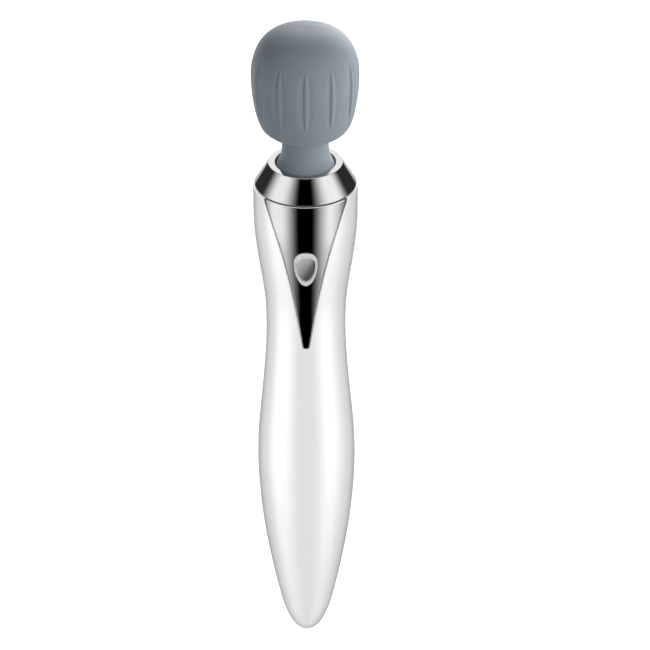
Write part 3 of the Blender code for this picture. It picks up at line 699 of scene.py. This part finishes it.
def make_rear_shell():
    """The rear half casing, with the opening for the charging dock."""
    outer, inner = [], []
    for z in rim_rows(CASING.heights):
        quarter = CASING.at(z)[0] * math.pi / 2
        seam = min(SEAM_EDGE, quarter * 0.1)
        half = [(quarter - seam) * k / 48 for k in range(48)]
        half += [quarter - seam * s for s in reversed(EDGE_STEPS)]
        row = [-arc for arc in reversed(half)] + half[1:]
        rim_drop = fillet_drop(RIM_Z - z, RIM_EDGE)
        depths = [max(fillet_drop(quarter - abs(arc), seam), rim_drop) for arc in row]
        outer.append([CASING.point(arc, z, depth) for arc, depth in zip(row, depths)])
        inner.append([CASING.point(arc, z, CASING_WALL) for arc in row])
    place = Matrix.Translation((0, PARTING_GAP, 0)) @ Matrix.Rotation(math.pi, 4, "Z")
    shell = make_object("rear_casing", plate(outer, inner, place))
    cut_out(shell, lofted(dock_rings(DOCK_CLEARANCE, (-6, 4)), DOCK_PLACE))
    finish_piece(shell, "white_gloss", ["handle_rear_shell"], body="handle")


def trim_drop(from_side, from_top, edge):
    """How far the trim's face has sunk at distances from its side and top edges, with round corners."""
    distance = min(from_side, from_top)
    if max(from_side, from_top) < TRIM_CORNER:
        distance = TRIM_CORNER - math.hypot(TRIM_CORNER - from_side, TRIM_CORNER - from_top)
    outside = min(max(-3 * distance, 0.0), TRIM_THICKNESS - edge - 0.1)
    return fillet_drop(distance, edge) + outside


def make_trim():
    """The chrome V with softly rounded edges, and the button's opening through it."""
    heights = [z for z in CASING.heights if TRIM_TIP_Z + 2.5 < z]
    heights += [RIM_Z - s for s in (0.6, 0.8, 1.0, 1.25, 1.5)]
    above = (0.004, 0.02, 0.05, 0.1, 0.17, 0.26, 0.36, 0.48, 0.65, 0.9, 1.2, 1.6, 2.1)
    heights += [TRIM_TIP_Z + step for step in above]
    outer, inner = [], []
    for z in rim_rows(heights):
        width = trim_half_width(z)
        edge = min(TRIM_EDGE, 0.12 + 0.06 * width)
        band = min(edge, width * 0.6)
        half = [(width - band) * k / 24 for k in range(24)]
        half += [width - band * s for s in reversed(EDGE_STEPS)]
        row = [-arc for arc in reversed(half)] + half[1:]
        drops = [trim_drop(-trim_distance(arc, z), RIM_Z - z, edge) for arc in row]
        outer.append([CASING.point(arc, z, drop) for arc, drop in zip(row, drops)])
        inner.append([CASING.point(arc, z, TRIM_THICKNESS) for arc in row])
    trim = make_object("trim", plate(outer, inner))
    cut_out(trim, lofted(button_rings(BUTTON_CLEARANCE["trim"], (-6, 2)), BUTTON_PLACE))
    finish_piece(trim, "chrome", ["trim_panel"], body="handle")


def make_collar():
    """The chrome cone with its flat top, whose edges are barely broken, and a black sleeve of painted shade
    inside its mouth.
    """
    low, high = (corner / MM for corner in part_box("collar_ring"))
    skirt_in, skirt_out = COLLAR_SKIRT_R
    profile = [
        (high.x, COLLAR_BASE_Z), (COLLAR_TOP_R, high.z), (COLLAR_MOUTH_R, high.z),
        (COLLAR_MOUTH_R, COLLAR_SHOULDER_Z), (skirt_in, COLLAR_SHOULDER_Z),
        (skirt_in, low.z), (skirt_out, low.z), (skirt_out, COLLAR_BASE_Z),
    ]
    ring = turned(rounded(profile, COLLAR_EDGES), 192)
    finish_piece(make_object("collar", ring), "chrome", ["collar_ring"], body="handle")
    # Painted shade: a black sleeve just inside the chrome mouth, standing in for the dark that the mouth's
    # inner wall reflects
    outer, inner = (COLLAR_MOUTH_R - gap for gap in MOUTH_SHADE_SLEEVE)
    shade_sleeve_profile = [(outer, 70.2), (inner, 70.0), (inner, COLLAR_SHOULDER_Z), (outer, COLLAR_SHOULDER_Z)]
    shade_sleeve = make_object("collar_bore", turned(shade_sleeve_profile, 128))
    finish_piece(shade_sleeve, "black_plastic", ["collar_ring"], body="handle")


# ---------------------------------------------------------------- button


def button_rings(grow, heights):
    return [[(x, y, h) for x, y in egg(BUTTON, grow)] for h in heights]


def dock_rings(grow, heights):
    """The dock's teardrop has its wide end down."""
    return [[(-x, -y, h) for x, y in teardrop(DOCK, grow)] for h in heights]


def button_place():
    """The button's own frame: X across, Y up along the casing, Z out of it."""
    z = BUTTON_Z
    slope = math.atan((CASING.at(z + 5)[0] - CASING.at(z - 5)[0]) / 10)
    return Matrix.Translation((0, -CASING.at(z)[0], z)) @ Matrix.Rotation(math.pi / 2 + slope, 4, "X")


def make_button_ring():
    """The satin ring: a rounded band with a finer bead inside it, widest at the button's two ends."""
    outside, inside = egg(BUTTON), egg(WINDOW)
    steps = 10
    rings = [[(x, y, -RING_DEPTH) for x, y in outside]]
    for start, end, tall in RING_BEADS:
        for n in range(steps + 1):
            turn = math.pi * n / steps
            share = start + (end - start) * (1 - math.cos(turn)) / 2
            height = RING_SHOULDER + tall * math.sin(turn)
            rings.append([(*Vector(a).lerp(Vector(b), share), height) for a, b in zip(outside, inside)])
    rings.append([(x, y, -RING_DEPTH) for x, y in inside])
    ring = make_object("ring", lofted(rings, BUTTON_PLACE, closed=True))
    finish_piece(ring, "satin_ring", ["button_ring"], body="handle")


def make_button_cap():
    """The domed cap in the ring, on the stem that presses the switch."""
    steps = 14
    edge = egg(WINDOW, -CAP_GAP)
    stem = [tuple(Vector(p).normalized() * CAP_STEM_R) for p in egg(WINDOW)]
    rings = [[(x, y, h) for x, y in stem] for h in (CAP_STEM_LOW, CAP_LOW)]
    rings += [[(x, y, h) for x, y in edge] for h in (CAP_LOW, CAP_EDGE_Z - 0.12)]
    for n in range(steps):
        share = 0.985 * (1 - n / steps)
        height = CAP_EDGE_Z + CAP_DOME * (1 - share**2)
        rings.append([(x, y, height) for x, y in egg(WINDOW, -CAP_GAP, share)])
    cap = make_object("cap", lofted(rings, BUTTON_PLACE))
    finish_piece(cap, "satin_cap", ["button_cap"], body="button", sharp=60)


# ---------------------------------------------------------------- dock


def make_dock():
    """The flat white plate on the back, and its two gold contacts."""
    rings = dock_rings(0, (-DOCK_DEPTH,))
    for n in range(7):
        turn = n * math.pi / 12
        rings += dock_rings(-DOCK_EDGE * (1 - math.cos(turn)), (-DOCK_EDGE * (1 - math.sin(turn)),))
    dock = make_object("dock_plate", lofted(rings, DOCK_PLACE))
    for name in ("charge_contact_left", "charge_contact_right"):
        low, high = (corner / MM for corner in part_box(name))
        x, z = (low.x + high.x) / 2, (low.z + high.z) / 2
        hole_r = CONTACT_R + CONTACT_CLEARANCE
        hole = [(0, 12), (hole_r, 12), (hole_r, 22), (0, 22)]
        cut_out(dock, turned(hole, 48, along_y(x, z)))
        pin = [(0, low.y), (CONTACT_R, low.y), (CONTACT_R, high.y), (0, high.y)]
        contact = turned(rounded(pin, {2: 0.3}), 48, along_y(x, z))
        piece = make_object(name.replace("charge_", ""), contact)
        finish_piece(piece, "gold_contact", [name], body="handle")
    finish_piece(dock, "white_gloss", ["charge_plate"], body="handle")


# ---------------------------------------------------------------- head and neck


def groove_height(arc, z):
    """How far the head's skin rises or sinks at an arc from a groove's middle."""
    low, high = GROOVE_Z
    along = (2 * z - low - high) / (high - low)
    if abs(along) >= 1:
        return 0.0
    width = (1 - along**2) ** 0.55
    place = arc / max(width, 0.05)
    fade = (1 - along**4) * min(1.0, width * 1.6)
    for (a0, h0), (a1, h1) in zip(GROOVE_SECTION, GROOVE_SECTION[1:]):
        if a0 <= place <= a1:
            t = (place - a0) / (a1 - a0)
            return fade * (h0 + (h1 - h0) * t * t * (3 - 2 * t))
    return 0.0


def head_point(r, turn, z):
    return (r * math.sin(turn), -r * math.cos(turn), z)


def make_head():
    """The silicone cap of the head, with its ring of grooves."""
    outline = Outline("head_sleeve", 6)
    sector = 2 * math.pi / GROOVES
    places = []
    for n in range(GROOVES):
        for k in range(GROOVE_COLUMNS):
            t = 2 * k / GROOVE_COLUMNS - 1
            offset = sector / 4 * (t + t**3)  # closer columns near the groove's middle
            places.append((math.radians(GROOVE_FIRST_TURN) + n * sector + offset, offset))
    rings = []
    for (r, z), (out, up) in zip(outline.path[:-1], outline.normals):
        sunk = LIP * smooth_step((z - LIP_Z[0]) / (LIP_Z[1] - LIP_Z[0]))
        ring = []
        for turn, offset in places:
            rise = groove_height(r * offset, z) - sunk
            ring.append(head_point(r + rise * out, turn, z + rise * up))
        rings.append(ring)
    low_z, top_z = outline.path[0][1], outline.path[-1][1]
    rings.append([(0, 0, top_z - LIP)] * len(places))
    inner = []
    for (r, z), (out, up) in list(zip(outline.path, outline.normals))[6:-1:3]:
        inner.append((max(r - out * SLEEVE_WALL, 0), z - up * SLEEVE_WALL))
    lining = [(0, top_z - SLEEVE_WALL), *reversed(inner), (NECK_BORE, inner[0][1]), (NECK_BORE, low_z)]
    for r, z in lining:
        rings.append([head_point(r, turn, z) for turn, _ in places])
    head = make_object("head_skin", lofted(rings, closed=True))
    finish_piece(head, "grey_silicone", ["head_sleeve"], body="head", sharp=70)


def smooth_step(t):
    t = min(max(t, 0.0), 1.0)
    return t * t * (3 - 2 * t)


def make_neck():
    """The sleeve round the neck, in two halves that meet just above the pivot."""
    low, high = (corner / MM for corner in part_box("neck_sleeve"))
    flare = smooth_path([*NECK_FLARE, (NECK_FLARE[-1][0], high.z + 0.2)], 8)
    below, above = [p for p in flare if p[1] <= NECK_SPLIT], [p for p in flare if p[1] >= NECK_SPLIT]
    radius, top = below[-1][0], above[-1][1]
    steps = 12
    bore_low = [(NECK_BORE, NECK_SPLIT + (low.z - NECK_SPLIT) * k / steps) for k in range(steps + 1)]
    wall_low = [(NECK_R, low.z + (flare[0][1] - low.z) * k / steps) for k in range(steps)]
    lower = [*wall_low, *below, (radius, NECK_SPLIT), *bore_low]
    bore_high = [(NECK_BORE, top + (NECK_SPLIT - top) * k / steps) for k in range(steps + 1)]
    upper = [(radius, NECK_SPLIT), *above, *bore_high]
    for name, profile, blend in (("neck_skirt", lower, LOWER_BEND), ("neck_skin", upper, UPPER_BEND)):
        piece = make_object(name, turned(profile, 128))
        finish_piece(piece, "grey_silicone", ["neck_sleeve"], sharp=60)


def whole(bm):
    return bm.verts[:] + bm.edges[:] + bm.faces[:]


def make_bending_copies():
    """The rubber coupling and the motor's leads, each cut just above the pivot into two lengths."""
    finishes = {
        "neck_coupling": "black_rubber", "motor_lead_red": "red_wire", "motor_lead_black": "black_wire",
    }
    for node, slot in finishes.items():
        for part, blend, side in (("lower", LOWER_BEND, 1), ("upper", UPPER_BEND, -1)):
            bm = bmesh.new()
            bm.from_mesh(frame["nodes"][node].data)
            bmesh.ops.remove_doubles(bm, verts=bm.verts, dist=0.01 * MM)
            bm.transform(Matrix.Scale(1 / MM, 4))
            plane = {"plane_co": (0, 0, NECK_SPLIT), "plane_no": (0, 0, side)}
            cut = bmesh.ops.bisect_plane(bm, geom=whole(bm), clear_outer=True, **plane)
            open_edges = [e for e in cut["geom_cut"] if isinstance(e, bmesh.types.BMEdge)]
            bmesh.ops.holes_fill(bm, edges=open_edges)
            for z in range(60, 90):
                bmesh.ops.bisect_plane(bm, geom=whole(bm), plane_co=(0, 0, z + 0.37), plane_no=(0, 0, 1))
            bmesh.ops.recalc_face_normals(bm, faces=bm.faces)
            finish_piece(make_object(node + "_" + part, bm), slot, [node])


# ---------------------------------------------------------------- inner pieces


def dress_cad_nodes():
    """Every CAD node that still shows takes its slot's material."""
    slots = {part["node"]: part["material_slot"] for part in frame["record"]["subparts"]}
    for name, node in frame["nodes"].items():
        if node.hide_render:
            continue
        slot = "winding" if name == "rotor_core" else slots[name]
        for place in node.material_slots:
            place.material = MATERIALS[slot]


# ---------------------------------------------------------------- studio


def make_camera():
    elevation = math.radians(CAMERA_ELEVATION)
    turn = Matrix.Rotation(math.radians(CAMERA_TURN), 4, "Z")
    data = bpy.data.cameras.new("camera")
    data.lens = CAMERA_LENS
    data.sensor_width = 36.0
    data.clip_start = 0.05
    camera = bpy.data.objects.new("camera", data)
    away = CAMERA_DISTANCE * MM
    place = Vector((CAMERA_ASIDE * MM, -away * math.cos(elevation), away * math.sin(elevation)))
    camera.location = turn @ place
    camera.rotation_euler = (math.pi / 2 - elevation, 0, math.radians(CAMERA_TURN))
    bpy.context.scene.collection.objects.link(camera)
    bpy.context.scene.camera = camera


def math_node(tree, operation, *values):
    node = tree.nodes.new("ShaderNodeMath")
    node.operation = operation
    for socket, value in zip(node.inputs, values):
        if isinstance(value, (int, float)):
            socket.default_value = value
        else:
            tree.links.new(value, socket)
    return node.outputs[0]


def mix(tree, factor, a, b):
    node = tree.nodes.new("ShaderNodeMix")
    node.data_type = "RGBA"
    sockets = (node.inputs["Factor"], node.inputs[6], node.inputs[7])
    for socket, value in zip(sockets, (factor, a, b)):
        if isinstance(value, tuple):
            socket.default_value = (*value, 1)
        elif isinstance(value, (int, float)):
            socket.default_value = value
        else:
            tree.links.new(value, socket)
    return node.outputs[2]


# The studio as polished surfaces see it, as (degrees from the front, + towards +X; brightness): a dim
# strip straight behind, dark, a softbox on the left, a black flag in front, a softbox on the right, dark
STUDIO_BAND = (
    (-180, 0.6), (-165, 0.6), (-155, 0.05), (-110, 0.05), (-72, 1.8), (-58, 1.8), (-15, 0.0),
    (13, 0.0), (58, 1.9), (75, 1.9), (108, 0.05), (155, 0.05), (165, 0.6), (180, 0.6),
)
BAND_PEAK = 2.0
BAND_BELOW = ((0.5, 1.0), (0.6, 0.8), (0.72, 0.55), (0.82, 0.28), (0.95, 0.2))  # (depth, share kept)
RIGHT_LOW_LOSS = ((0.25, 0.0), (0.42, 0.45))  # (depth, share lost) of the right softbox's far side
RIGHT_FAR_SIDE = ((58, 0), (84, 1), (125, 1), (140, 0))  # (degrees from the front, share)
AMBIENT = (0.5, 0.505, 0.51)
OVERHEAD = (1.7, 1.7, 1.7)
OVERHEAD_FROM = ((0.62, 0.0), (0.85, 1.0))  # (height of the direction, share)
BEHIND_FROM = ((149 / 180, 0.0), (154 / 180, 1.0))  # (half turns from the front, share)
BEHIND_RISE = ((0.12, 0.0), (0.25, 0.45), (0.45, 0.6), (0.8, 1.0))  # (height + 0.5, share)


def make_world():
    """Two tall softboxes and a black flag for polished surfaces, even light for matt ones, white beyond."""
    world = bpy.data.worlds.new("studio")
    bpy.context.scene.world = world
    world.use_nodes = True
    world.cycles.sampling_method = "NONE"
    tree = world.node_tree
    background = tree.nodes["Background"]
    direction = tree.nodes.new("ShaderNodeTexCoord").outputs["Generated"]
    parts = tree.nodes.new("ShaderNodeSeparateXYZ")
    tree.links.new(direction, parts.inputs[0])
    x, y, z = parts.outputs
    turn = math_node(tree, "ARCTAN2", x, math_node(tree, "MULTIPLY", y, -1.0))
    around = math_node(tree, "MULTIPLY_ADD", turn, 0.5 / math.pi, 0.5)
    share = math_node(tree, "DIVIDE", math_node(tree, "ABSOLUTE", turn), math.pi)
    stops = [(angle / 360 + 0.5, level / BAND_PEAK) for angle, level in STUDIO_BAND]
    band = ramp(tree, around, stops, smooth=True)
    bright = tree.nodes.new("ShaderNodeVectorMath")
    bright.operation = "SCALE"
    down = math_node(tree, "MULTIPLY", z, -1.0)
    far_side = ramp(tree, around, [(0.5 + angle / 360, level) for angle, level in RIGHT_FAR_SIDE])
    lost = math_node(tree, "MULTIPLY", ramp(tree, down, RIGHT_LOW_LOSS), far_side)
    kept = math_node(tree, "MULTIPLY", ramp(tree, down, BAND_BELOW), math_node(tree, "SUBTRACT", 1.0, lost))
    tree.links.new(math_node(tree, "MULTIPLY", kept, BAND_PEAK), bright.inputs["Scale"])
    tree.links.new(band, bright.inputs[0])
    overhead = ramp(tree, z, OVERHEAD_FROM)
    raised = ramp(tree, math_node(tree, "ADD", z, 0.5), BEHIND_RISE)
    behind = math_node(tree, "MULTIPLY", ramp(tree, share, BEHIND_FROM), raised)
    sky = math_node(tree, "MAXIMUM", overhead, behind)
    glossy = mix(tree, sky, bright.outputs[0], OVERHEAD)
    path = tree.nodes.new("ShaderNodeLightPath")
    seen = mix(tree, path.outputs["Is Glossy Ray"], AMBIENT, glossy)
    seen = mix(tree, path.outputs["Is Camera Ray"], seen, (1.0, 1.0, 1.0))
    tree.links.new(seen, background.inputs["Color"])
    background.inputs["Strength"].default_value = 1.0


def make_floor():
    """A pale floor just under the wand's tip."""
    material, tree, shader = new_material("pale_floor")
    colours = ramp(tree, noise(tree, 4), [(0.3, 0.9), (0.7, 0.92)])
    tree.links.new(colours, shader.inputs["Base Color"])
    shader.inputs["Roughness"].default_value = 1.0
    shader.inputs["Specular IOR Level"].default_value = 0.0
    shader.inputs["Emission Color"].default_value = (1, 1, 1, 1)
    shader.inputs["Emission Strength"].default_value = 1.0
    bm = bmesh.new()
    bmesh.ops.create_grid(bm, x_segments=2, y_segments=2, size=3000)
    floor = make_object("floor", bm)
    floor.location.z = cad_bounds[0][2] - 0.3 * MM
    floor.data.materials.append(material)
    floor.visible_glossy = False
    floor.visible_diffuse = False


def light_only(lamp, slots):
    """Limits a lamp to the pieces of some finishes, which also are all that shade it."""
    lit = bpy.data.collections.new(lamp.name + "_lit")
    for obj in bpy.data.objects:
        if obj.get("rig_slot") in slots:
            lit.objects.link(obj)
    lamp.light_linking.receiver_collection = lit
    lamp.light_linking.blocker_collection = lit


# Soft lamps: (angle from the front, elevation, power), towards +X where the angle is positive. The
# white ones leave no reflection, because the softboxes already show in the casing's coat
SILICONE_LAMPS = ((10, -15, 2), (65, 20, 2), (105, -15, 2), (155, 20, 4), (-135, -15, 1))
SILICONE_SOFTNESS = 50
WHITE_LAMPS = ((-60, 20, 1.4), (60, 20, 1.4), (130, 10, 1), (-130, 10, 1), (0, -75, 1.4))
WHITE_SOFTNESS = 90
BUTTON_LAMP_DIRECTION = (-0.5, -0.25, 0.83)  # grazes the cap from its upper left
BUTTON_LAMP_POWER = 24.0
BUTTON_LAMP_SOFTNESS = 20


def make_lamp(name, away, power, softness, slots):
    """A soft lamp that shines from a direction onto the pieces of some finishes."""
    data = bpy.data.lights.new(name, "SUN")
    data.energy = power
    data.angle = math.radians(softness)
    lamp = bpy.data.objects.new(name, data)
    lamp.rotation_euler = Vector(away).to_track_quat("Z", "Y").to_euler()
    bpy.context.scene.collection.objects.link(lamp)
    light_only(lamp, slots)
    return lamp


def make_lamps():
    """Lamps that model the matt head, lamps that lift the white casing and the ring, and one for the cap."""
    groups = (
        ("silicone", SILICONE_LAMPS, SILICONE_SOFTNESS, ("grey_silicone",)),
        ("white", WHITE_LAMPS, WHITE_SOFTNESS, ("white_gloss", "satin_ring")),
    )
    for name, lamps, softness, slots in groups:
        for n, (turn, elevation, power) in enumerate(lamps):
            turn, elevation = math.radians(turn), math.radians(elevation)
            level = math.cos(elevation)
            away = (math.sin(turn) * level, -math.cos(turn) * level, math.sin(elevation))
            lamp = make_lamp(f"{name}_lamp_{n}", away, power, softness, slots)
            lamp.visible_glossy = name == "silicone"
    make_lamp("button_lamp", BUTTON_LAMP_DIRECTION, BUTTON_LAMP_POWER, BUTTON_LAMP_SOFTNESS, ("satin_cap",))


# ---------------------------------------------------------------- assembly

LOWER_BEND = ("handle", "neck", 66.0, NECK_SPLIT)
UPPER_BEND = ("neck", "head", NECK_SPLIT, 81.0)

MATERIALS = make_materials()
CASING = Outline("handle_rear_shell", 5)
RIM_Z = CASING.heights[-1]
BUTTON_PLACE = button_place()
plate_low, plate_high = (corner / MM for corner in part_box("charge_plate"))
DOCK_PLACE = Matrix.Translation((0, plate_high.y, (plate_low.z + plate_high.z) / 2))
DOCK_PLACE @= Matrix.Rotation(math.pi, 4, "Z") @ Matrix.Rotation(math.pi / 2, 4, "X")

make_camera()
make_front_shell()
make_rear_shell()
make_trim()
make_collar()
make_button_ring()
make_button_cap()
make_dock()
make_head()
make_neck()
make_bending_copies()
dress_cad_nodes()
make_floor()
make_lamps()
make_world()

bpy.context.scene.view_settings.view_transform = "Standard"
